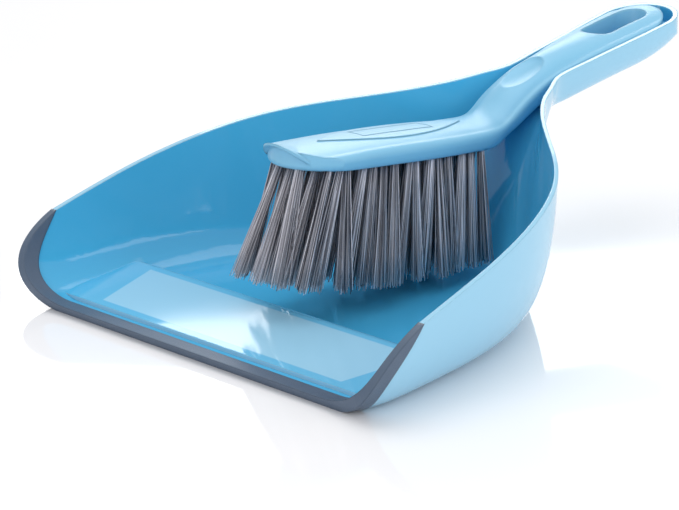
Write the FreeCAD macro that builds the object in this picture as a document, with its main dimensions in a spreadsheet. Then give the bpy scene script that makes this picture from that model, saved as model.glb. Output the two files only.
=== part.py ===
import FreeCAD, Part
import math
import os
from FreeCAD import Rotation, Vector

# Dust pan and nesting hand brush, in millimetres.
# Frame: +Z up, the pan's mouth faces -Y, its handle points to +Y, X = 0 is the plane of symmetry,
# Z = 0 is the floor that the pan lies on. The shapes are laid out from the front edge of the
# pan's base, and each sub-part's Placement then brings the middle of the footprint to the origin.

DRIVING = [
    # pan
    ("mouth_width", 235.0, "outside width of the pan across its mouth, at the rim"),
    ("tray_length", 215.0, "front edge of the base to the neck, where the handle starts"),
    ("grip_length", 97.5, "neck to the far end of the pan's handle"),
    ("wall", 2.4, "thickness of the pan's sides and floor"),
    ("cheek_height", 37.5, "height of the rim at the front corners"),
    ("neck_height", 85.0, "height of the rim at the neck"),
    ("end_height", 102.1, "height of the rim at the far end of the handle"),
    ("neck_width", 36.0, "outside width of the handle at its neck"),
    ("grip_width", 41.5, "outside width of the handle at its widest"),
    ("grip_depth", 16.0, "depth of the handle's trough outside"),
    ("bead_proud", 0.9, "how far the rolled rim stands out of the wall"),
    ("bead_drop", 3.0, "height of the rolled rim"),
    ("ramp_start", 11.0, "front edge to the foot of the ramp"),
    ("ramp_end", 56.0, "front edge to the crest of the ramp"),
    ("ramp_rise", 8.3, "height of the crest"),
    ("lip_depth", 7.0, "depth of the rubber lip along the base"),
    ("lip_height", 4.2, "thickness of the rubber lip along the base"),
    ("lip_proud", 0.5, "how far the rubber stands out of the walls"),
    ("ledge_length", 10.0, "length of the two ledges that hold the brush"),
    ("ledge_reach", 1.0, "how far each ledge stands into the trough"),
    ("ledge_height", 2.6, "height of each ledge"),
    ("ledge_end", 16.0, "pan's neck to the far end of the ledges"),
    # how the brush lies in the pan
    ("nest_gap", 0.8, "clearance between the brush handle and the trough round it"),
    ("ledge_gap", 0.6, "clearance between the neck of the brush and the ledges"),
    ("end_gap", 7.0, "clearance between the ends of the two handles"),
    ("neck_lead", 39.0, "rear of the brush head to the pan's neck, along the brush"),
    ("neck_drop", 26.1, "rim at the pan's neck down to the underside of the head's rear"),
    ("brush_pitch", 6.0, "angle by which the stored brush head dips to the rear, degrees"),
    ("tip_gap", 4.6, "clearance between the rearmost bristle tips and the pan's floor"),
    # brush
    ("head_length", 122.0, "front of the brush head to the start of its neck"),
    ("head_width", 42.0, "width of the brush head"),
    ("head_thickness", 9.0, "thickness of the brush head on its centre line"),
    ("nose_length", 29.0, "length of the rounded front of the head"),
    ("nose_round", 3.0, "radius along the lower edge of the rounded front"),
    ("neck_thickness", 16.0, "thickness of the brush's neck"),
    ("visor_width", 28.0, "width of the scraper that arches over the front of the head"),
    ("visor_reach", 4.2, "how far the scraper stands out in front of the head"),
    ("visor_arch", 22.0, "radius of the scraper's arch"),
    ("visor_thickness", 1.2, "thickness of the scraper"),
    ("visor_tilt", 11.0, "angle by which the scraper turns up, degrees"),
    ("slot_length", 39.0, "length of the hanging slot"),
    ("slot_width", 16.6, "width of the hanging slot"),
    ("slot_margin", 7.4, "hanging slot to the end of the brush handle"),
    ("thumb_length", 31.0, "length of the thumb recess"),
    ("thumb_width", 19.0, "width of the thumb recess"),
    ("thumb_depth", 3.4, "depth of the thumb recess"),
    ("panel_start", 22.0, "front of the head to the lens-shaped panel"),
    ("panel_length", 90.0, "length of the lens-shaped panel"),
    ("panel_width", 23.0, "width of the lens-shaped panel"),
    ("panel_rise", 0.5, "how far the panel stands out of the head"),
    ("field_length", 44.0, "length of the rectangular field on the panel"),
    ("field_width", 10.6, "width of the rectangular field"),
    ("groove_width", 0.7, "width of the groove round the field"),
    ("groove_depth", 0.35, "depth of the groove round the field"),
    # filling
    ("first_column", 6.5, "front of the head to the first tuft column"),
    ("last_column", 9.5, "last tuft column to the rear of the head"),
    ("row_margin", 6.2, "side of the head to the outermost tuft row"),
    ("hole_radius", 1.9, "radius of a drilled tuft hole"),
    ("hole_roof", 3.2, "plastic left over a drilled tuft hole"),
    ("tuft_gap", 0.1, "clearance round a tuft inside its hole"),
    ("tuft_spread", 1.2, "how much wider than its hole a tuft's radius is at the tip"),
    ("anchor_gap", 0.3, "clearance round an anchor across its hole"),
    ("anchor_height", 1.9, "height of the wire anchor"),
    ("anchor_wire", 0.5, "thickness of the anchor wire"),
]

COLUMNS = 16                 # tuft columns along the head
ROWS = 5                     # tuft rows across the head
FRONT_LEAN = 16.0            # forward lean of the first column, degrees
REAR_LEAN = 2.5              # forward lean of the last column, degrees
SIDE_LEAN = 2.6              # outward lean per row away from the centre, degrees
END_TRIM = 3.0               # how much shorter the first and last columns are trimmed
SPARE = 12.0                 # how far a cutting shape runs past what it cuts
BASE_TRIM = 0.6              # the lofts reach this far below the base, which is cut flat
SEAM_RISE = 3.0              # the sides' curves end this far above the rim, which is cut from them
DEEP = 36.0                  # the same, for a shape that cuts or trims right through
TALL = 96.0                  # height of a shape that cuts or trims the whole brush handle
ROUND = 0.5523               # reach of a Bezier handle that draws a quarter of a circle or an ellipse

doc = FreeCAD.newDocument("dust_pan_and_brush")
sizes = doc.addObject("Spreadsheet::Sheet", "sizes")
for row, (alias, value, meaning) in enumerate(DRIVING, start=1):
    sizes.set(f"A{row}", meaning)
    sizes.set(f"B{row}", str(value))
    sizes.setAlias(f"B{row}", alias)
doc.recompute()


def size(alias):
    """The value of one driving dimension, read back from the sheet."""
    return float(sizes.get(alias))


# ---------------------------------------------------------------- helpers

def feature(name, shape):
    """A document object that holds a shape made with Part's own functions."""
    obj = doc.addObject("Part::Feature", name)
    obj.Shape = shape
    return obj


def primitive(kind, name, placement=None, **bound):
    """A Part primitive whose properties are bound to expressions on the sheet."""
    obj = doc.addObject(f"Part::{kind}", name)
    for prop, expression in bound.items():
        obj.setExpression(prop, expression)
    if placement is not None:
        obj.Placement = placement
    return obj


def boolean(kind, name, first, second):
    """A Cut or a Common of two document objects."""
    obj = doc.addObject(f"Part::{kind}", name)
    obj.Base = first
    obj.Tool = second
    return obj


def gather(kind, name, parts):
    """A MultiFuse, MultiCommon or Compound of several document objects."""
    obj = doc.addObject(f"Part::{kind}", name)
    if kind == "Compound":
        obj.Links = parts
    else:
        obj.Shapes = parts
    return obj


def skin(rows, along):
    """A B-spline surface through one edge's Bezier poles at every station."""
    curves = []
    for poles in zip(*rows):
        curve = Part.BSplineCurve()
        curve.interpolate(Points=list(poles), Parameters=along)
        curves.append(curve)
    grid = [[curve.getPole(number) for curve in curves]
            for number in range(1, curves[0].NbPoles + 1)]
    across = len(curves)
    surface = Part.BSplineSurface()
    surface.buildFromPolesMultsKnots(grid, curves[0].getMultiplicities(), [across, across],
                                     curves[0].getKnots(), [0.0, 1.0], False, False,
                                     curves[0].Degree, across - 1)
    return surface.toShape()


def loft(name, sections):
    """A smooth solid through closed sections, each a list of edges given by their poles."""
    along = [section[0][0].y for section in sections]
    faces = [skin(rows, along) for rows in zip(*sections)]
    for end in (sections[0], sections[-1]):
        outline = [bezier(*poles) for poles in end]
        faces.append(Part.Face(Part.Wire(outline)))
    shell = Part.Shell(faces)
    shell.sewShape()
    solid = Part.Solid(shell)
    if solid.Volume < 0:
        solid.reverse()
    return feature(name, solid)


def bezier(*points):
    curve = Part.BezierCurve()
    curve.setPoles([Vector(*point) for point in points])
    return curve.toShape()


def line(start, end):
    return Part.makeLine(Vector(*start), Vector(*end))


def arc(start, middle, end):
    return Part.Arc(Vector(*start), Vector(*middle), Vector(*end)).toShape()


def slab(name, edges, width):
    """A closed outline in the plane X = 0, extruded to both sides of it."""
    face = Part.Face(Part.Wire(edges))
    outline = feature(f"{name}_outline", face)
    obj = doc.addObject("Part::Extrusion", name)
    obj.Base = outline
    obj.DirMode = "Custom"
    obj.Dir = Vector(1, 0, 0)
    obj.LengthFwd = width
    obj.LengthRev = width
    obj.Solid = True
    return obj


def plan_prism(name, edges, low, high):
    """A closed outline in a horizontal plane, extruded upwards from low to high."""
    face = Part.Face(Part.Wire(edges))
    face.translate(Vector(0, 0, low))
    outline = feature(f"{name}_outline", face)
    obj = doc.addObject("Part::Extrusion", name)
    obj.Base = outline
    obj.DirMode = "Custom"
    obj.Dir = Vector(0, 0, 1)
    obj.LengthFwd = high - low
    obj.Solid = True
    return obj


# ---------------------------------------------------------------- pan: the lines that rule it

mouth_half = size("mouth_width") / 2
neck_half = size("neck_width") / 2
grip_half = size("grip_width") / 2
tray = size("tray_length")
pan_end = tray + size("grip_length")
wall = size("wall")
cheek_height = size("cheek_height")
cheek_y = 21.0               # the rim starts this far behind the front edge
FRONT_REACH = 4.0            # how far the cheeks' round front stands before the base's front edge
RIM_BULGE = 2.6              # how far the rim rises above the chord from cheek to neck
TROUGH_BASE = 0.5            # half width of the trough's flat base, as a share of its own
KNEE = 0.55                  # the sides' first Bezier pole, as a share of the way from base to side
HIP = 0.05                   # the sides' second pole, as a share of the way back from the side
HIP_HEIGHT = 0.34            # height of that pole, as a share of the side's height

# Stations of the tray: share of its length, share of the flare from neck to mouth,
# half width of the flat base as a share of the mouth's half width,
# rise of the base as a share of the height of the trough's underside at the neck.
TRAY_STATIONS = [
    (-0.10, 1.000, 0.560, 0.00),
    (-0.03, 1.000, 0.665, 0.00),
    (0.02, 1.000, 0.742, 0.00),
    (0.08, 1.000, 0.772, 0.00),
    (0.17, 0.992, 0.760, 0.00),
    (0.30, 0.970, 0.725, 0.00),
    (0.42, 0.920, 0.675, 0.00),
    (0.52, 0.842, 0.605, 0.00),
    (0.61, 0.726, 0.510, 0.00),
    (0.68, 0.588, 0.415, 0.00),
    (0.74, 0.442, 0.320, 0.00),
    (0.79, 0.320, 0.240, 0.06),
    (0.83, 0.232, 0.180, 0.22),
    (0.87, 0.158, 0.140, 0.45),
    (0.91, 0.100, 0.110, 0.69),
    (0.95, 0.058, 0.090, 0.88),
]
# Stations of the handle: share of its length, share of the widening from neck to grip,
# share of the trough's depth, rise of the brush handle's crown above the rim.
GRIP_STATIONS = [
    (0.00, 0.10, 1.00, 0.0),
    (0.09, -0.25, 1.00, 0.0),
    (0.20, 0.00, 1.00, 0.0),
    (0.34, 0.22, 1.00, 5.0),
    (0.52, 0.62, 1.00, 4.6),
    (0.78, 1.00, 0.96, 3.4),
    (0.93, 0.90, 0.72, 2.0),
    (1.06, 0.60, 0.30, 0.8),
]
NESTED = 3                   # the brush handle fills the trough from this station on


def rim_height(y):
    """Height of the rim: a gentle arc from the cheeks to the neck, then straight to the end."""
    if y <= tray:
        share = (y - cheek_y) / (tray - cheek_y)
        chord = cheek_height + share * (size("neck_height") - cheek_height)
        return chord + RIM_BULGE * 4 * share * (1 - share)
    share = (y - tray) / (pan_end - tray)
    return size("neck_height") + share * (size("end_height") - size("neck_height"))


def trough_station(along, widen, depth):
    """(y, half width at the rim, half width of the base, height of the base) in the handle."""
    y = tray + along * size("grip_length")
    half = neck_half + widen * (grip_half - neck_half)
    return y, half, TROUGH_BASE * half, rim_height(y) - depth * size("grip_depth")


def pan_stations():
    """(y, half width at the rim, half width of the base, height of the base) of every section."""
    under_neck = size("neck_height") - size("grip_depth")
    stations = []
    for along, flare, base, rise in TRAY_STATIONS:
        half = neck_half + flare * (mouth_half - neck_half)
        stations.append((along * tray, half, base * mouth_half, rise * under_neck))
    for along, widen, depth, _ in GRIP_STATIONS:
        stations.append(trough_station(along, widen, depth))
    return stations


def in_section(y, edges):
    """The poles of a section's edges, given in X and Z, at the station Y."""
    return [[Vector(x, y, z) for x, z in poles] for poles in edges]


def pan_section(y, half, base, low, grow, floor, top):
    """One section of the pan, offset outwards by grow, its base raised by floor."""
    side = half + grow
    flat = base + grow / 2
    bottom = low + floor
    rim = rim_height(y) + SEAM_RISE
    knee_x = flat + KNEE * (side - flat)
    hip_x = side - HIP * (side - flat)
    hip_z = bottom + HIP_HEIGHT * (rim - bottom)
    head = rim + top
    return in_section(y, [
        [(-flat, bottom), (flat, bottom)],
        [(flat, bottom), (knee_x, bottom), (hip_x, hip_z), (side, rim)],
        [(side, rim), (side, head)],
        [(side, head), (-side, head)],
        [(-side, head), (-side, rim)],
        [(-side, rim), (-hip_x, hip_z), (-knee_x, bottom), (-flat, bottom)],
    ])


def pan_loft(name, grow, floor, top):
    sections = []
    for y, half, base, low in pan_stations():
        sections.append(pan_section(y, half, base, low, grow, floor, top))
    return loft(name, sections)


def round_ended(radius, shoulder, end, wide, front):
    """A plan, wide up to the shoulder, then a tongue with a round end."""
    turn = end - radius
    return [
        line((-wide, front, 0), (wide, front, 0)),
        line((wide, front, 0), (wide, shoulder, 0)),
        line((wide, shoulder, 0), (radius, shoulder, 0)),
        line((radius, shoulder, 0), (radius, turn, 0)),
        arc((radius, turn, 0), (0, end, 0), (-radius, turn, 0)),
        line((-radius, turn, 0), (-radius, shoulder, 0)),
        line((-radius, shoulder, 0), (-wide, shoulder, 0)),
        line((-wide, shoulder, 0), (-wide, front, 0)),
    ]


def pan_plan(name, inset):
    """The plan of the whole pan: open in front, with a round end on the handle."""
    edges = round_ended(grip_half - inset, tray, pan_end - inset, mouth_half + SPARE, -DEEP)
    return plan_prism(name, edges, -SPARE, size("end_height") + DEEP)


footprint_middle = (pan_end + size("bead_proud") - FRONT_REACH) / 2
centred = FreeCAD.Placement(Vector(0, -footprint_middle, 0), Rotation())

# Side view of the front edge, from the floor to the rim, as Bezier poles.
FRONT_POLES = [(0.0, 0.0), (-8.6, 12.0), (-2.6, 27.0)]


def rim_edges(drop, first, last):
    """The rim line in side view, lowered by drop, between two stations, as one smooth curve."""
    points = []
    steps = 8
    for step in range(steps + 1):
        y = first + (last - first) * step / steps
        points.append(Vector(0, y, rim_height(y) - drop))
    curve = Part.BSplineCurve()
    curve.interpolate(points)
    return curve.toShape()


def in_side_view(points):
    return [(0, y, z) for y, z in points]


def side_profile(name, drop=0.0):
    """Everything behind the front edge and below the rim, in side view."""
    far = pan_end + SPARE
    front = FRONT_POLES + [(cheek_y, cheek_height - drop)]
    edges = [
        bezier(*in_side_view(front)),
        rim_edges(drop, cheek_y, far),
        line((0, far, rim_height(far) - drop), (0, far, 0)),
        line((0, far, 0), (0, 0, 0)),
    ]
    return slab(name, edges, mouth_half + SPARE)


# ---------------------------------------------------------------- pan_shell

RAMP_ROOT = 0.5              # the ramp starts this far above the base, inside the pan's floor
CREST = 2.5                  # half length of the ramp's rounded crest
FALL = 5.0                   # length of the short fall behind the crest
CREST_ROUND = 1.4            # how much lower the crest's rear end lies


def ramp():
    """The raised ramp behind the lip: a foot step, a long slope, a crest and a short fall."""
    start = size("ramp_start")
    end = size("ramp_end")
    rise = size("ramp_rise")
    foot = size("lip_height")
    near = (0, end - CREST, rise)
    behind = (0, end + CREST, rise - CREST_ROUND)
    edges = [
        line((0, start, RAMP_ROOT), (0, start, foot)),
        line((0, start, foot), near),
        bezier(near, (0, end, rise + CREST * (rise - foot) / (end - start)), behind),
        line(behind, (0, end + CREST + FALL, RAMP_ROOT)),
        line((0, end + CREST + FALL, RAMP_ROOT), (0, start, RAMP_ROOT)),
    ]
    return slab("ramp_wedge", edges, mouth_half + SPARE)


CORE_START = 4.0             # foot of the ramp to the hollow under it, past two walls
CORE_SHARE = 0.66            # width of that hollow, as a share of the mouth's


def ramp_core():
    """The hollow under the ramp, which keeps its wall as thin as the rest."""
    start = size("ramp_start") + 2 * wall + CORE_START
    end = size("ramp_end")
    roof = size("ramp_rise") - wall
    below = -SPARE
    edges = [
        line((0, start, below), (0, start, wall)),
        line((0, start, wall), (0, end, roof)),
        line((0, end, roof), (0, end, below)),
        line((0, end, below), (0, start, below)),
    ]
    return slab("ramp_core", edges, CORE_SHARE * mouth_half)


LEDGE_DROP = 0.4             # the ledges lie this far below the rim
climb = (size("end_height") - size("neck_height")) / size("grip_length")


def ledge(name, side):
    """One of the two ledges inside the trough that hold the brush handle."""
    y = tray + size("ledge_end") - size("ledge_length")
    inner = neck_half - wall
    if side > 0:
        x = inner - size("ledge_reach")
    else:
        x = -(inner + wall / 2)
    z = rim_height(y) - size("ledge_height") - LEDGE_DROP
    turn = Rotation(Vector(1, 0, 0), math.degrees(math.atan(climb)))
    placement = FreeCAD.Placement(Vector(x, y, z), turn)
    return primitive("Box", name, placement, Length="sizes.ledge_reach + sizes.wall / 2",
                     Width="sizes.ledge_length", Height="sizes.ledge_height")


side_view = side_profile("pan_side_view")
outer_round = boolean("Common", "pan_outer_round",
                      pan_loft("pan_outer", 0.0, -BASE_TRIM, SPARE / 2),
                      pan_plan("pan_outer_plan", 0.0))
outer = boolean("Common", "pan_outer_body", outer_round, side_view)
inner = boolean("Common", "pan_inner_body",
                pan_loft("pan_inner", -wall, wall, SPARE),
                pan_plan("pan_inner_plan", wall))
bead_round = boolean("Common", "bead_round",
                     pan_loft("bead", size("bead_proud"), -BASE_TRIM, SPARE / 2),
                     pan_plan("bead_plan", -size("bead_proud")))
bead_body = boolean("Common", "bead_body", bead_round, side_view)
bead_band = boolean("Cut", "bead_band", bead_body, side_profile("below_bead", size("bead_drop")))
thick = gather("MultiFuse", "pan_thick", [outer, bead_band])
walls = boolean("Cut", "pan_walls", thick, inner)
ramp_in_tray = boolean("Common", "ramp_in_tray", ramp(), outer)
ramped = gather("MultiFuse", "pan_ramped", [walls, ramp_in_tray])

# Side view of the rubber's rear edge, from the rim down to the base, as Bezier poles.
LIP_REAR_POLES = [(10.0, 22.0), (-1.6, 15.0)]


def lip_outline(forward):
    """Side view of the rubber: along the front edge, tapering up the cheeks to the rim."""
    front = [(y - forward, z) for y, z in FRONT_POLES[1:]]
    top = (cheek_y, cheek_height)
    foot = (size("lip_depth"), 0.0)
    return [
        bezier(*in_side_view([FRONT_POLES[0]] + front + [top])),
        bezier(*in_side_view([top] + LIP_REAR_POLES + [foot])),
        line((0, *foot), (0, 0, 0)),
    ]


lip_space = slab("lip_space", lip_outline(SPARE), mouth_half + SPARE)
bare_front = boolean("Cut", "pan_bare_front", ramped, lip_space)
cored = boolean("Cut", "pan_cored", bare_front, ramp_core())
ledges = [ledge("ledge_right", 1), ledge("ledge_left", -1)]
pan_shell = gather("MultiFuse", "pan_shell", [cored] + ledges)
pan_shell.Label = "pan_shell"
pan_shell.Placement = centred


# ---------------------------------------------------------------- rubber_lip

proud = size("lip_proud")
lip_outer = pan_loft("lip_outer", proud, -BASE_TRIM, SPARE / 2)
lip_inner = pan_loft("lip_inner", -wall - proud, size("lip_height"), SPARE)
lip_strip = slab("lip_strip", lip_outline(0.0), mouth_half + SPARE)
lip_full = boolean("Common", "lip_full", lip_strip, lip_outer)
rubber_lip = boolean("Cut", "rubber_lip", lip_full, lip_inner)
rubber_lip.Label = "rubber_lip"
rubber_lip.Placement = centred


# ---------------------------------------------------------------- brush: how it lies in the pan
# Brush frame: origin on the underside of the head at its front, +Y along the head to the
# handle, +Z up through the head. The stored brush is turned and lifted as one.

head_half = size("head_width") / 2
head_end = size("head_length")
head_thick = size("head_thickness")
pitch = math.radians(size("brush_pitch"))
brush_start = tray - size("neck_lead") - head_end
brush_height = size("neck_height") - size("neck_drop") + head_end * math.sin(pitch)
in_pan = FreeCAD.Placement(Vector(0, brush_start, brush_height),
                           Rotation(Vector(1, 0, 0), -size("brush_pitch")))
stored = centred.multiply(in_pan)
into_brush = in_pan.inverse()


def from_pan(y, z):
    """Distance along the brush and height in it of a point that is given in the pan."""
    point = into_brush.multVec(Vector(0, y, z))
    return point.y, point.z


# ---------------------------------------------------------------- brush_stock

# Stations of the head: share of its length, half width as a share of the head's half width,
# height of the underside, rise of the top above the head's thickness.
HEAD_STATIONS = [
    (-0.010, 1.000, -0.8, -0.7),
    (0.060, 1.000, -0.8, -0.4),
    (0.160, 1.000, -0.8, 0.2),
    (0.300, 1.000, -0.8, 1.0),
    (0.500, 1.000, -0.8, 1.5),
    (0.700, 0.965, -0.8, 1.6),
    (0.880, 0.870, -0.6, 1.6),
    (1.000, 0.790, 0.5, 2.3),
]
HEAD_FLAT = 0.84             # half width of the head's flat underside, as a share of its own
HEAD_GIRTH = 0.45            # height of the head's widest line, as a share of its thickness
HEAD_CROWN = 2.2             # rise of the head's top from its edge to the centre line
# Stations of the neck: distance behind the pan's neck, height of the middle above the rim
# there, share of the neck's thickness, flat share, girth share.
NECK_STATIONS = [
    (-29.8, -18.1, 0.72, 0.78, 0.46),
    (-21.3, -13.4, 0.92, 0.72, 0.48),
    (-11.7, -8.5, 1.02, 0.66, 0.52),
    (0.9, -3.6, 1.04, 0.60, 0.57),
    (15.0, -0.3, 1.04, 0.54, 0.62),
]
NECK_CROWN = 0.30            # rise of the neck's top, as a share of its thickness
GIRTH_DROP = 0.6             # the handle is widest this far below the rim
CREASE = 0.25                # height of the handle's upper edge, as a share of its crown
CROWN_PULL = 1.4             # height of the crown's inner poles, as a share of the crown
SHOULDER = 0.80              # half width of the crowned top, as a share of the half width


def stock_section(y, half, flat, low, girth, crease, high, hip_z):
    """One section of the stock: a flat underside, curved flanks and a crowned top."""
    knee_x = flat + KNEE * (half - flat)
    hip_x = half - HIP * (half - flat)
    shoulder = SHOULDER * half
    brow = shoulder / 2
    over = crease + CROWN_PULL * (high - crease)
    return in_section(y, [
        [(-flat, low), (flat, low)],
        [(flat, low), (knee_x, low), (hip_x, hip_z), (half, girth)],
        [(half, girth), (half, crease), (shoulder, crease)],
        [(shoulder, crease), (brow, over), (-brow, over), (-shoulder, crease)],
        [(-shoulder, crease), (-half, crease), (-half, girth)],
        [(-half, girth), (-hip_x, hip_z), (-knee_x, low), (-flat, low)],
    ])


def head_sections(lift):
    sections = []
    for along, spread, low, rise in HEAD_STATIONS:
        half = spread * head_half
        high = head_thick + rise + lift
        girth = low + HEAD_GIRTH * (high - lift - low)
        hip_z = low + HIP_HEIGHT * (girth - low)
        sections.append(stock_section(along * head_end, half, HEAD_FLAT * half, low, girth,
                                      high - HEAD_CROWN, high, hip_z))
    return sections


def neck_sections(lift):
    half = neck_half - wall - size("ledge_reach") - size("ledge_gap")
    sections = []
    for behind, above, share, flat, girth_share in NECK_STATIONS:
        tall = share * size("neck_thickness")
        y, middle = from_pan(tray + behind, size("neck_height") + above)
        low = middle - tall / 2
        high = middle + tall / 2 + lift
        girth = low + girth_share * tall
        hip_z = low + HIP_HEIGHT * (girth - low)
        sections.append(stock_section(y, half, flat * half, low, girth,
                                      high - NECK_CROWN * tall, high, hip_z))
    return sections


def handle_sections(lift):
    """The handle fills the trough: its flanks follow the trough's own, a gap inside them."""
    inset = wall + size("nest_gap")
    sections = []
    for along, widen, depth, crown in GRIP_STATIONS[NESTED:]:
        pan_y, outer_half, base, bottom = trough_station(along, widen, depth)
        rim = rim_height(pan_y)
        y, girth = from_pan(pan_y, rim - GIRTH_DROP)
        low = girth - (rim - GIRTH_DROP - bottom - inset)
        rim_here = girth + GIRTH_DROP
        hip_z = low + HIP_HEIGHT * (rim + SEAM_RISE - bottom - wall)
        sections.append(stock_section(y, outer_half - inset, base - inset / 2, low, girth,
                                      rim_here + CREASE * crown + lift, rim_here + crown + lift,
                                      hip_z))
    return sections


def stock_loft(name, lift):
    """The whole stock, its top surface moved up by lift."""
    return loft(name, head_sections(lift) + neck_sections(lift) + handle_sections(lift))


shaft_end = from_pan(pan_end - wall - size("end_gap"), size("end_height"))[0]
handle_half = grip_half - wall - size("nest_gap")


def nose_edges(half, length, back):
    """A plan with an elliptical front at Y = 0, closed at the back."""
    reach_x = ROUND * half
    reach_y = length - ROUND * length
    return [
        bezier((-half, length, 0), (-half, reach_y, 0), (-reach_x, 0, 0), (0, 0, 0)),
        bezier((0, 0, 0), (reach_x, 0, 0), (half, reach_y, 0), (half, length, 0)),
        line((half, length, 0), (half, back, 0)),
        line((half, back, 0), (-half, back, 0)),
        line((-half, back, 0), (-half, length, 0)),
    ]


def head_plan():
    """The head's plan, extruded from its underside, with a round lower edge at the nose."""
    radius = size("nose_round")
    edges = nose_edges(head_half + radius / 2, size("nose_length"), head_end)
    face = Part.Face(Part.Wire(edges))
    block = face.extrude(Vector(0, 0, DEEP))
    low_edges = []
    for edge in block.Edges:
        box = edge.BoundBox
        if box.ZMax < radius / 2 and box.YMax < head_end - radius:
            low_edges.append(edge)
    return feature("head_plan", block.makeFillet(radius, low_edges))


def shaft_plan():
    """The plan of the neck and handle, with a round end."""
    wide = head_half + SPARE
    edges = round_ended(handle_half, head_end + SPARE, shaft_end, wide, head_end - SPARE)
    return plan_prism("shaft_plan", edges, -SPARE, TALL)


def visor():
    """The thin scraper that arches over the front of the head."""
    reach = size("visor_reach")
    half = size("visor_width") / 2
    side = reach + size("nose_length") * (1 - math.sqrt(1 - (half / head_half) ** 2))
    plan = [
        arc((-half, side - reach, 0), (0, -reach, 0), (half, side - reach, 0)),
        line((half, side - reach, 0), (half, side + reach, 0)),
        line((half, side + reach, 0), (-half, side + reach, 0)),
        line((-half, side + reach, 0), (-half, side - reach, 0)),
    ]
    tilt = size("visor_tilt")
    turn = Rotation(Vector(1, 0, 0), 90 - tilt)
    start = Vector(0, DEEP, head_thick - size("visor_arch"))
    start.z -= (DEEP - reach) * math.tan(math.radians(tilt))
    place = FreeCAD.Placement(start, turn)
    outer_arch = primitive("Cylinder", "visor_outer", place, Radius="sizes.visor_arch")
    inner_arch = primitive("Cylinder", "visor_inner", place,
                           Radius="sizes.visor_arch - sizes.visor_thickness")
    for arch in (outer_arch, inner_arch):
        arch.Height = 2 * DEEP
    shell = boolean("Cut", "visor_shell", outer_arch, inner_arch)
    prism = plan_prism("visor_plan", plan, head_thick / 3, DEEP)
    return boolean("Common", "visor", shell, prism)


def lens_panel(raised):
    """The raised lens-shaped panel on top of the head."""
    start = size("panel_start")
    end = start + size("panel_length")
    middle = (start + end) / 2
    half = size("panel_width") / 2
    edges = [
        arc((0, start, 0), (half, middle, 0), (0, end, 0)),
        arc((0, end, 0), (-half, middle, 0), (0, start, 0)),
    ]
    prism = plan_prism("panel_plan", edges, head_thick / 2, DEEP)
    return boolean("Common", "panel", raised, prism)


def frame_groove():
    """The thin rectangular groove on the panel, which frames an empty field."""
    start = size("panel_start") + (size("panel_length") - size("field_length")) / 2
    half = size("field_width") / 2
    groove = size("groove_width")
    low = head_thick / 2
    outer_place = FreeCAD.Placement(Vector(-half, start, low), Rotation())
    outer_box = primitive("Box", "frame_outer", outer_place,
                          Length="sizes.field_width", Width="sizes.field_length")
    inner_place = FreeCAD.Placement(Vector(groove - half, start + groove, low), Rotation())
    inner_box = primitive("Box", "frame_inner", inner_place,
                          Length="sizes.field_width - 2 * sizes.groove_width",
                          Width="sizes.field_length - 2 * sizes.groove_width")
    outer_box.Height = SPARE
    inner_box.Height = SPARE
    ring = boolean("Cut", "frame_ring", outer_box, inner_box)
    floor = stock_loft("stock_groove_floor", size("panel_rise") - size("groove_depth"))
    return boolean("Cut", "frame_groove", ring, floor)


def hanging_slot():
    """The long slot with round ends near the far end of the handle."""
    half = size("slot_width") / 2
    end = shaft_end - size("slot_margin")
    start = end - size("slot_length")
    edges = [
        line((half, start + half, 0), (half, end - half, 0)),
        arc((half, end - half, 0), (0, end, 0), (-half, end - half, 0)),
        line((-half, end - half, 0), (-half, start + half, 0)),
        arc((-half, start + half, 0), (0, start, 0), (half, start + half, 0)),
    ]
    return plan_prism("hanging_slot", edges, 0, TALL)


THUMB_LEAD = 8.5             # centre of the thumb recess to the pan's neck
THUMB_LIFT = 1.6             # height of its centre above the rim at the neck
THUMB_SLOPE = 24.0           # slope of the neck's top there, degrees


def thumb_recess():
    """The shallow oval recess for the thumb, on top of the neck."""
    along, height = from_pan(tray - THUMB_LEAD, size("neck_height") + THUMB_LIFT)
    length = size("thumb_length") / 2
    matrix = FreeCAD.Matrix()
    matrix.scale(size("thumb_width") / 2 / length, 1.0, size("thumb_depth") / length)
    oval = feature("thumb_oval", Part.makeSphere(length).transformGeometry(matrix))
    turn = Rotation(Vector(1, 0, 0), THUMB_SLOPE)
    oval.Placement = FreeCAD.Placement(Vector(0, along, height), turn)
    return oval


# ---------------------------------------------------------------- tuft holes

column_pitch = (head_end - size("first_column") - size("last_column")) / (COLUMNS - 1)
row_pitch = (size("head_width") - 2 * size("row_margin")) / (ROWS - 1)
hole_depth = head_thick - size("hole_roof")
LEAN_FALL = 2.6              # how fast the forward lean fades along the head


def tuft_axis(column, row):
    """Foot of a tuft on the head's underside, and the rotation that leans +Z to its way out."""
    share = column / (COLUMNS - 1)
    offset = row - (ROWS - 1) / 2
    forward = FRONT_LEAN * (1 - share) ** LEAN_FALL + REAR_LEAN * share ** 2
    foot = Vector(offset * row_pitch, size("first_column") + column * column_pitch, 0)
    down = Rotation(Vector(1, 0, 0), 180 - forward)
    outward = Rotation(Vector(0, 1, 0), -offset * SIDE_LEAN)
    return foot, outward.multiply(down)


def rows_in(column):
    """The rows that a column fills: the first one leaves the head's round corners free."""
    if column == 0:
        return range(1, ROWS - 1)
    return range(ROWS)


def tuft_hole(column, row):
    foot, turn = tuft_axis(column, row)
    start = foot - turn.multVec(Vector(0, 0, hole_depth))
    hole = primitive("Cylinder", f"hole_{column:02d}_{row}", FreeCAD.Placement(start, turn),
                     Radius="sizes.hole_radius")
    hole.Height = 2 * hole_depth
    return hole


holes = []
for column in range(COLUMNS):
    for row in rows_in(column):
        holes.append(tuft_hole(column, row))

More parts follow.
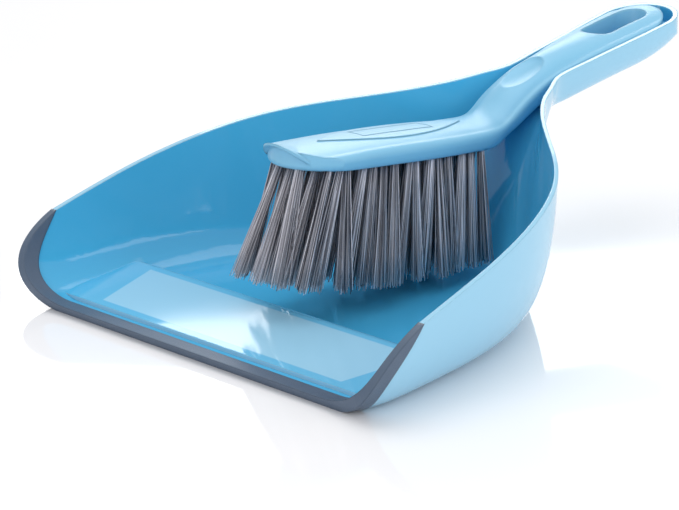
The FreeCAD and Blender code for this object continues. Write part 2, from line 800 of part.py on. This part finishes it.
plain = stock_loft("stock", 0.0)
raised = stock_loft("stock_raised", size("panel_rise"))
head_body = boolean("Common", "head_body", plain, head_plan())
shaft_body = boolean("Common", "shaft_body", plain, shaft_plan())
full = gather("MultiFuse", "stock_full", [head_body, shaft_body, visor(), lens_panel(raised)])
slotted = boolean("Cut", "stock_slotted", full, hanging_slot())
thumbed = boolean("Cut", "stock_thumbed", slotted, thumb_recess())
framed = boolean("Cut", "stock_framed", thumbed, frame_groove())
brush_stock = boolean("Cut", "brush_stock", framed, gather("Compound", "all_holes", holes))
brush_stock.Label = "brush_stock"
brush_stock.Placement = stored


# ---------------------------------------------------------------- tufts and anchors

rear_underside = brush_height - (head_end - size("last_column")) * math.sin(pitch)
shortest = rear_underside - wall - size("tip_gap")


def tuft_length(column):
    """Free length of a column's tufts: the ends of the head are trimmed a little shorter."""
    share = column / (COLUMNS - 1)
    return shortest + END_TRIM * (1 - (2 * share - 1) ** 2)


def tuft(column, row):
    """A root cylinder in the hole and a spreading bundle below it."""
    foot, turn = tuft_axis(column, row)
    inside = hole_depth - size("anchor_height")
    root_place = FreeCAD.Placement(foot - turn.multVec(Vector(0, 0, inside)), turn)
    root = primitive("Cylinder", f"root_{column:02d}_{row}", root_place,
                     Radius="sizes.hole_radius - sizes.tuft_gap")
    root.Height = inside
    bundle = primitive("Cone", f"bundle_{column:02d}_{row}", FreeCAD.Placement(foot, turn),
                       Radius1="sizes.hole_radius - sizes.tuft_gap",
                       Radius2="sizes.hole_radius + sizes.tuft_spread")
    bundle.Height = tuft_length(column)
    return gather("MultiFuse", f"tuft_{column:02d}_{row}", [root, bundle])


def anchor(column, row):
    """A flat loop of wire across the bottom of a hole."""
    foot, turn = tuft_axis(column, row)
    half = size("hole_radius") - size("anchor_gap")
    corner = Vector(-half, -size("anchor_wire") / 2, -hole_depth)
    placement = FreeCAD.Placement(foot + turn.multVec(corner), turn)
    return primitive("Box", f"anchor_{column:02d}_{row}", placement,
                     Length="2 * (sizes.hole_radius - sizes.anchor_gap)",
                     Width="sizes.anchor_wire", Height="sizes.anchor_height")


nodes = [pan_shell, rubber_lip, brush_stock]
for column in range(COLUMNS):
    for kind, make in (("tuft", tuft), ("anchor", anchor)):
        solids = [make(column, row) for row in rows_in(column)]
        group = gather("Compound", f"{kind}_column_{column + 1:02d}", solids)
        group.Label = f"{kind}_column_{column + 1:02d}"
        group.Placement = stored
        nodes.append(group)


# ---------------------------------------------------------------- checks and files

doc.recompute()
for obj in doc.Objects:
    if "Invalid" in obj.State or "Error" in obj.State:
        raise RuntimeError(f"{obj.Label} failed: {obj.State}")
for node in nodes:
    if node.Shape.isNull() or not node.Shape.isValid() or not node.Shape.Solids:
        raise RuntimeError(f"{node.Label} has no valid solid")

os.makedirs("parts", exist_ok=True)
for node in nodes:
    node.Shape.exportStep(os.path.join("parts", f"{node.Label}.step"))
    box = node.Shape.BoundBox
    print(f"{node.Label}: {len(node.Shape.Solids)} solids, {node.Shape.Volume:.0f} mm3, "
          f"x {box.XMin:.1f}..{box.XMax:.1f} y {box.YMin:.1f}..{box.YMax:.1f} "
          f"z {box.ZMin:.1f}..{box.ZMax:.1f}")
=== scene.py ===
import math
import random

import bmesh
import bpy
from mathutils import Matrix, Quaternion, Vector


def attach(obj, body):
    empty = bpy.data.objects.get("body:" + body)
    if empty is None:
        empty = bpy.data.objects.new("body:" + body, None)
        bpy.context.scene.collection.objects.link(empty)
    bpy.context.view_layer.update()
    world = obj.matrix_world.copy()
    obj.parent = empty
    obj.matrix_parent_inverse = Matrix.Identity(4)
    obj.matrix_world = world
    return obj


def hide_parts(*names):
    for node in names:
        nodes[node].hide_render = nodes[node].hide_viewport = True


# Dust pan and brush, in metres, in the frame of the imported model:
# +Z up, the pan's mouth faces -Y, the handles point to +Y, X = 0 is the plane of symmetry.

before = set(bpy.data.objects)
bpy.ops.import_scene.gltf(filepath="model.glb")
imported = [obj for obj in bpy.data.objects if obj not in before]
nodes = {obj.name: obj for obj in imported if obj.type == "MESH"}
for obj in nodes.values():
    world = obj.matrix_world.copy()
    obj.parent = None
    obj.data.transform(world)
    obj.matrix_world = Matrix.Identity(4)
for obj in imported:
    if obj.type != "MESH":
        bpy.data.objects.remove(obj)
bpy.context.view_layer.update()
MM = 0.001
bpy.context.scene.view_settings.view_transform = "Standard"

# ---------------------------------------------------------------- camera

AIM = Vector((0.0099, -0.0753, 0.0289))
DISTANCE = 1.05
AZIMUTH = math.radians(46.22)        # 0 looks along +Y, positive turns the view towards -X
ELEVATION = math.radians(17.54)
ROLL = math.radians(-1.17)
LENS = 127.8
SENSOR = 36.0


def add_camera():
    data = bpy.data.cameras.new("camera")
    data.lens = LENS
    data.sensor_width = SENSOR
    camera = bpy.data.objects.new("camera", data)
    forward = Vector((
        -math.sin(AZIMUTH) * math.cos(ELEVATION),
        math.cos(AZIMUTH) * math.cos(ELEVATION),
        -math.sin(ELEVATION),
    ))
    turn = forward.to_track_quat("-Z", "Y") @ Quaternion((0, 0, 1), ROLL)
    camera.matrix_world = Matrix.Translation(AIM - DISTANCE * forward) @ turn.to_matrix().to_4x4()
    bpy.context.scene.collection.objects.link(camera)
    bpy.context.scene.camera = camera


# ---------------------------------------------------------------- node helpers

def new_material(name):
    """A material, and its Principled shader."""
    material = bpy.data.materials.new(name)
    material.use_nodes = True
    return material, material.node_tree.nodes["Principled BSDF"]


def add_node(material, kind, inputs=None, **settings):
    """A shader node with its settings and the values of its inputs."""
    made = material.node_tree.nodes.new(kind)
    for key, value in settings.items():
        setattr(made, key, value)
    for key, value in (inputs or {}).items():
        made.inputs[key].default_value = value
    return made


def link(material, source, target):
    material.node_tree.links.new(source, target)


def surface_place(material):
    """A point's place in the object, which doesn't depend on how it is seen."""
    return add_node(material, "ShaderNodeTexCoord").outputs["Object"]


def noise(material, scale, detail=3.0, roughness=0.5):
    """Noise over the object, in cells per metre."""
    made = add_node(material, "ShaderNodeTexNoise",
                    {"Scale": scale, "Detail": detail, "Roughness": roughness})
    link(material, surface_place(material), made.inputs["Vector"])
    return made.outputs["Fac"]


def remap(material, value, low, high):
    """A value from 0 to 1, brought to the range from low to high."""
    made = add_node(material, "ShaderNodeMapRange", {"To Min": low, "To Max": high})
    link(material, value, made.inputs["Value"])
    return made.outputs["Result"]


def blend_colours(material, factor, first, second):
    """first where the factor is 0, second where it is 1."""
    made = add_node(material, "ShaderNodeMix", data_type="RGBA")
    link(material, factor, made.inputs["Factor"])
    for socket, colour in (("A", first), ("B", second)):
        target = [i for i in made.inputs if i.name == socket and i.type == "RGBA"][0]
        if isinstance(colour, tuple):
            target.default_value = (*colour, 1)
        else:
            link(material, colour, target)
    return [o for o in made.outputs if o.type == "RGBA"][0]


def bump(material, shader, height, strength, distance, edge=0.0):
    """A relief on the surface; edge is the radius that its sharp edges seem to have."""
    made = add_node(material, "ShaderNodeBump", {"Strength": strength, "Distance": distance})
    link(material, height, made.inputs["Height"])
    if edge > 0:
        rounded = add_node(material, "ShaderNodeBevel", {"Radius": edge}, samples=6)
        link(material, rounded.outputs["Normal"], made.inputs["Normal"])
    link(material, made.outputs["Normal"], shader.inputs["Normal"])


def arithmetic(material, operation, first, second):
    made = add_node(material, "ShaderNodeMath", operation=operation)
    for socket, value in zip(made.inputs, (first, second)):
        if isinstance(value, (int, float)):
            socket.default_value = value
        else:
            link(material, value, socket)
    return made.outputs["Value"]


# ---------------------------------------------------------------- materials

SHADED_INSIDE_BLUE = (0.058, 0.420, 0.720)        # inside of the pan: painted shade, a deep blue for the shade and bounced light in the scoop
SHADED_INSIDE_BLUE_LIT = (0.080, 0.475, 0.780)
SKY_BLUE = (0.275, 0.560, 0.750)         # outside of the pan
SKY_BLUE_LIT = (0.310, 0.600, 0.790)
RAMP_REFLECTION = (0.420, 0.690, 0.860)          # painted reflection on the ramp, a paler blue

CHEEK = (-0.1337, 0.0375)        # the rim at the front corners, as (y, z)
NECK = (0.0603, 0.0850)          # the rim where the handle starts
HANDLE_END = (0.1578, 0.1021)    # the rim at the far end
SPINE_RISE = 0.018               # a line this far above the rim sees all of the inside, and nothing else
RIM_LAND = 0.0004                # the rim's own top keeps the outside colour


def rim_above(material, y):
    """Height of the pan's rim at y: one straight rise to the neck, then a gentler one."""
    pieces = []
    for near, far in ((CHEEK, NECK), (NECK, HANDLE_END)):
        ramp = add_node(material, "ShaderNodeMapRange", {
            "From Min": near[0], "From Max": far[0], "To Min": 0.0, "To Max": far[1] - near[1]})
        link(material, y, ramp.inputs["Value"])
        pieces.append(ramp.outputs["Result"])
    share = add_node(material, "ShaderNodeMapRange", {
        "From Min": CHEEK[0], "From Max": NECK[0], "To Min": -1.0, "To Max": 1.0})
    link(material, y, share.inputs["Value"])
    square = arithmetic(material, "MULTIPLY", share.outputs["Result"], share.outputs["Result"])
    bulge = arithmetic(material, "MULTIPLY", arithmetic(material, "SUBTRACT", 1.0, square), 0.0026)
    straight = arithmetic(material, "ADD", pieces[0], pieces[1])
    return arithmetic(material, "ADD", arithmetic(material, "ADD", straight, bulge), CHEEK[1])


def facing_in(material, x, y, z):
    """1 on the inside faces of the pan, 0 on its outside and on the rim's top."""
    normal = add_node(material, "ShaderNodeSeparateXYZ")
    link(material, add_node(material, "ShaderNodeNewGeometry").outputs["Normal"], normal.inputs[0])
    rim = rim_above(material, y)
    above = arithmetic(material, "SUBTRACT", arithmetic(material, "SUBTRACT", z, rim), SPINE_RISE)
    across = arithmetic(material, "MULTIPLY", x, normal.outputs["X"])
    upward = arithmetic(material, "MULTIPLY", above, normal.outputs["Z"])
    towards = arithmetic(material, "LESS_THAN", arithmetic(material, "ADD", across, upward), 0.0)
    below_rim = arithmetic(material, "LESS_THAN", z, arithmetic(material, "SUBTRACT", rim, RIM_LAND))
    return arithmetic(material, "MULTIPLY", towards, below_rim)


def band(material, value, low, high, blur):
    """1 where the value lies between low and high, 0 outside."""
    rise = add_node(material, "ShaderNodeMapRange", {"From Min": low - blur, "From Max": low + blur})
    fall = add_node(material, "ShaderNodeMapRange", {"From Min": high + blur, "From Max": high - blur})
    link(material, value, rise.inputs["Value"])
    link(material, value, fall.inputs["Value"])
    return arithmetic(material, "MULTIPLY", rise.outputs["Result"], fall.outputs["Result"])


def pan_plastic():
    """Polished polypropylene, pale sky blue, with painted shade inside the scoop: a deep blue for its
    shade and bounced light.

    The ramp carries a painted reflection, a paler blue, and is a little rougher, most of all on its flat
    middle field.
    """
    material, shader = new_material("pan_plastic")
    place = add_node(material, "ShaderNodeSeparateXYZ")
    link(material, surface_place(material), place.inputs[0])
    x, y, z = (place.outputs[axis] for axis in "XYZ")
    # the inside mask places the painted shade: the scoop's inside faces get the deep blue
    inside = facing_in(material, x, y, z)
    # painted light: a broad noise mixes each blue with its lighter lit copy in random patches
    lit_patches = noise(material, 9.0, 2.0)
    shaded_blue = blend_colours(material, lit_patches, SHADED_INSIDE_BLUE, SHADED_INSIDE_BLUE_LIT)
    pale = blend_colours(material, lit_patches, SKY_BLUE, SKY_BLUE_LIT)
    side = arithmetic(material, "ABSOLUTE", x, 0.0)
    narrowed = arithmetic(material, "SUBTRACT", side, arithmetic(material, "MULTIPLY", y, 0.27))
    on_ramp = arithmetic(material, "MULTIPLY", band(material, y, -0.144, -0.0975, 0.0012),
                         band(material, narrowed, -1.0, 0.127, 0.0015))
    low = arithmetic(material, "LESS_THAN", z, 0.0095)
    on_ramp = arithmetic(material, "MULTIPLY", on_ramp, arithmetic(material, "MULTIPLY", inside, low))
    on_field = arithmetic(material, "MULTIPLY", on_ramp, band(material, y, -0.1394, -0.1035, 0.0004))
    on_field = arithmetic(material, "MULTIPLY", on_field,
                          band(material, narrowed, -1.0, 0.1138, 0.0004))
    # painted reflection: the whole ramp a little paler, its flat middle field much paler
    tray = blend_colours(material, arithmetic(material, "MULTIPLY", on_ramp, 0.22), shaded_blue, RAMP_REFLECTION)
    tray = blend_colours(material, arithmetic(material, "MULTIPLY", on_field, 0.70), tray, RAMP_REFLECTION)
    link(material, blend_colours(material, inside, pale, tray), shader.inputs["Base Color"])
    grain = noise(material, 1400.0)
    gloss = remap(material, grain, 0.045, 0.085)
    link(material, arithmetic(material, "ADD", gloss, arithmetic(material, "MULTIPLY", on_field, 0.08)),
         shader.inputs["Roughness"])
    shader.inputs["IOR"].default_value = 1.5
    bump(material, shader, noise(material, 26.0, 1.0), 0.10, 0.002, edge=0.8 * MM)
    return material


def brush_plastic():
    """Satin polypropylene with a fine moulded grain."""
    material, shader = new_material("brush_plastic")
    drift = noise(material, 14.0, 2.0)
    colour = blend_colours(material, drift, (0.190, 0.480, 0.690), (0.225, 0.520, 0.725))
    link(material, colour, shader.inputs["Base Color"])
    grain = noise(material, 2600.0, 4.0)
    link(material, remap(material, grain, 0.30, 0.42), shader.inputs["Roughness"])
    shader.inputs["IOR"].default_value = 1.5
    bump(material, shader, grain, 0.12, 0.0003, edge=1.8 * MM)
    return material


def lip_rubber():
    """Slate-blue rubber, slightly dusty, with a soft moulded skin."""
    material, shader = new_material("lip_rubber")
    dust = noise(material, 60.0, 5.0, 0.6)
    colour = blend_colours(material, dust, (0.050, 0.085, 0.145), (0.095, 0.135, 0.195))
    link(material, colour, shader.inputs["Base Color"])
    skin = noise(material, 1800.0, 5.0, 0.65)
    link(material, remap(material, skin, 0.34, 0.52), shader.inputs["Roughness"])
    bump(material, shader, skin, 0.25, 0.0004, edge=1.0 * MM)
    return material


def bristle_filament():
    """Grey filament whose tone comes from each filament's own value."""
    material, shader = new_material("bristle_filament")
    tone = add_node(material, "ShaderNodeAttribute", attribute_name="tone").outputs["Fac"]
    colour = blend_colours(material, tone, (0.030, 0.036, 0.058), (0.84, 0.82, 0.89))
    link(material, colour, shader.inputs["Base Color"])
    skin = noise(material, 900.0, 2.0)
    link(material, remap(material, skin, 0.25, 0.40), shader.inputs["Roughness"])
    return material


def anchor_steel():
    """Drawn steel wire."""
    material, shader = new_material("anchor_steel")
    drawn = noise(material, 3000.0, 4.0)
    colour = blend_colours(material, drawn, (0.42, 0.42, 0.41), (0.62, 0.62, 0.60))
    link(material, colour, shader.inputs["Base Color"])
    shader.inputs["Metallic"].default_value = 1.0
    link(material, remap(material, drawn, 0.25, 0.40), shader.inputs["Roughness"])
    return material


def dress(node, material):
    """Gives a CAD node its finished material."""
    node.data.materials.clear()
    node.data.materials.append(material)


# ---------------------------------------------------------------- bristles

FILAMENTS = 62               # filaments in a tuft
SIDES = 5                    # sides of a filament's tube
RINGS = 5                    # cross-sections along a filament
ROOT_RADIUS = 0.22 * MM
TIP_RADIUS = 0.15 * MM
PACKED = 1.55 * MM           # radius of a tuft where it leaves the head
SPREAD = 3.2 * MM            # radius of its tip
SUNK = 1.5 * MM              # the filaments start this far inside the hole
GOLDEN = math.pi * (3 - math.sqrt(5))


def tufts_of(node):
    """(foot, tip) of every tuft in a CAD tuft column, from its separate solids."""
    solid = bmesh.new()
    solid.from_mesh(node.data)
    bmesh.ops.remove_doubles(solid, verts=solid.verts, dist=0.01 * MM)
    left = set(solid.verts)
    found = []
    while left:
        island = set()
        stack = [left.pop()]
        while stack:
            vert = stack.pop()
            island.add(vert)
            for edge in vert.link_edges:
                other = edge.other_vert(vert)
                if other in left:
                    left.remove(other)
                    stack.append(other)
        found.append([vert.co.copy() for vert in island])
    solid.free()
    ends = []
    for points in found:
        middle = sum(points, Vector()) / len(points)
        far = max(points, key=lambda point: (point - middle).length)
        axis = (far - middle).normalized()
        for _ in range(3):
            along = [(point - middle).dot(axis) for point in points]
            low = min(along)
            high = max(along)
            margin = 0.05 * MM
            tip = mean([p for p, a in zip(points, along) if a > high - margin])
            root = mean([p for p, a in zip(points, along) if a < low + margin])
            axis = (tip - root).normalized()
        if root.z < tip.z:
            root, tip = tip, root
        ends.append((root, tip))
    return sorted(ends, key=lambda pair: pair[0].x)


def mean(points):
    return sum(points, Vector()) / len(points)


def filament(mesh, tone_layer, start, end, bow, tone):
    """One tapered tube from start to end, bowed sideways."""
    way = (end - start).normalized()
    side = way.orthogonal().normalized()
    other = way.cross(side)
    rings = []
    for ring in range(RINGS):
        share = ring / (RINGS - 1)
        centre = start.lerp(end, share) + bow * (share * share)
        radius = ROOT_RADIUS + (TIP_RADIUS - ROOT_RADIUS) * share
        verts = []
        for step in range(SIDES):
            angle = 2 * math.pi * step / SIDES
            verts.append(mesh.verts.new(centre + radius * (math.cos(angle) * side
                                                           + math.sin(angle) * other)))
        for vert in verts:
            vert[tone_layer] = tone
        rings.append(verts)
    for near, far in zip(rings, rings[1:]):
        for step in range(SIDES):
            after = (step + 1) % SIDES
            mesh.faces.new((near[step], near[after], far[after], far[step])).smooth = True
    mesh.faces.new(list(reversed(rings[0])))
    mesh.faces.new(rings[-1])


def bristle_column(number, node, material):
    """The filaments of one column of tufts, which stand for its plain CAD bundles."""
    rng = random.Random(number)
    mesh = bmesh.new()
    tone_layer = mesh.verts.layers.float.new("tone")
    for root, tip in tufts_of(node):
        way = (tip - root).normalized()
        side = way.orthogonal().normalized()
        other = way.cross(side)
        length = (tip - root).length
        start = root + way * SUNK
        sway = rng.gauss(0, 0.45 * MM) * side + rng.gauss(0, 0.45 * MM) * other
        tuft_tone = rng.uniform(-0.12, 0.12)
        for count in range(FILAMENTS):
            reach = math.sqrt((count + 0.5) / FILAMENTS)
            angle = count * GOLDEN + rng.uniform(-0.3, 0.3)
            out = math.cos(angle) * side + math.sin(angle) * other
            flare = reach * rng.uniform(0.55, 1.25)
            stray = rng.gauss(0, 0.7 * MM) * side + rng.gauss(0, 0.7 * MM) * other
            end = start + way * (length - SUNK) * rng.uniform(0.93, 1.0)
            end += out * SPREAD * flare + stray + sway
            bow = rng.gauss(0, 0.7 * MM) * side + rng.gauss(0, 0.7 * MM) * other
            tone = min(1.0, max(0.0, rng.betavariate(1.3, 1.5) + tuft_tone))
            filament(mesh, tone_layer, start + out * PACKED * reach, end - bow, bow, tone)
    name = f"bristles_{number:02d}"
    data = bpy.data.meshes.new(name)
    mesh.to_mesh(data)
    mesh.free()
    data.materials.append(material)
    piece = bpy.data.objects.new(name, data)
    bpy.context.scene.collection.objects.link(piece)
    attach(piece, "brush")
    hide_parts(node.name)


# ---------------------------------------------------------------- light and floor

def area_light(name, place, target, width, height, power, colour=(1, 1, 1)):
    data = bpy.data.lights.new(name, "AREA")
    data.shape = "RECTANGLE"
    data.size = width
    data.size_y = height
    data.energy = power
    data.color = colour
    lamp = bpy.data.objects.new(name, data)
    way = Vector(target) - Vector(place)
    turn = way.to_track_quat("-Z", "Y")
    lamp.matrix_world = Matrix.Translation(Vector(place)) @ turn.to_matrix().to_4x4()
    bpy.context.scene.collection.objects.link(lamp)


def add_world():
    """A white room: plain white behind the object, and a softer white as a light."""
    world = bpy.data.worlds.new("studio")
    bpy.context.scene.world = world
    world.use_nodes = True
    tree = world.node_tree
    background = tree.nodes["Background"]
    background.inputs["Color"].default_value = (1.0, 1.0, 1.0, 1)
    rays = tree.nodes.new("ShaderNodeLightPath")
    strength = tree.nodes.new("ShaderNodeMapRange")
    strength.inputs["To Min"].default_value = ROOM_LIGHT
    strength.inputs["To Max"].default_value = ROOM_SEEN
    tree.links.new(rays.outputs["Is Camera Ray"], strength.inputs["Value"])
    tree.links.new(strength.outputs["Result"], background.inputs["Strength"])


def add_floor():
    """A glossy white table, large enough to reach past every view."""
    reach = 6.0
    corners = [(-reach, -reach, 0), (reach, -reach, 0), (reach, reach, 0), (-reach, reach, 0)]
    mesh = bpy.data.meshes.new("floor")
    mesh.from_pydata(corners, [], [(0, 1, 2, 3)])
    floor = bpy.data.objects.new("floor", mesh)
    bpy.context.scene.collection.objects.link(floor)
    material, shader = new_material("floor_gloss")
    shader.inputs["Base Color"].default_value = (0.93, 0.93, 0.95, 1)
    shader.inputs["Roughness"].default_value = 0.06
    shader.inputs["IOR"].default_value = 1.35
    mesh.materials.append(material)


ROOM_LIGHT = 0.74
ROOM_SEEN = 1.05

add_camera()
add_world()
add_floor()
area_light("top", (-0.15, 0.10, 1.1), (0, 0, 0), 0.9, 0.9, 4.0)
area_light("front", (0.15, -1.1, 0.35), (0, -0.1, 0.02), 0.9, 0.5, 2.4)
area_light("right", (1.0, 0.15, 0.35), (0, 0, 0.05), 0.7, 0.9, 3.5)
area_light("window", (-1.1, 1.0, 0.75), (0, -0.1, 0), 0.8, 0.55, 5.0)

# ---------------------------------------------------------------- the object

dress(nodes["pan_shell"], pan_plastic())
dress(nodes["brush_stock"], brush_plastic())
dress(nodes["rubber_lip"], lip_rubber())
steel = anchor_steel()
filament_look = bristle_filament()
for name in sorted(nodes):
    if name.startswith("anchor_column"):
        dress(nodes[name], steel)
    if name.startswith("tuft_column"):
        bristle_column(int(name[-2:]), nodes[name], filament_look)
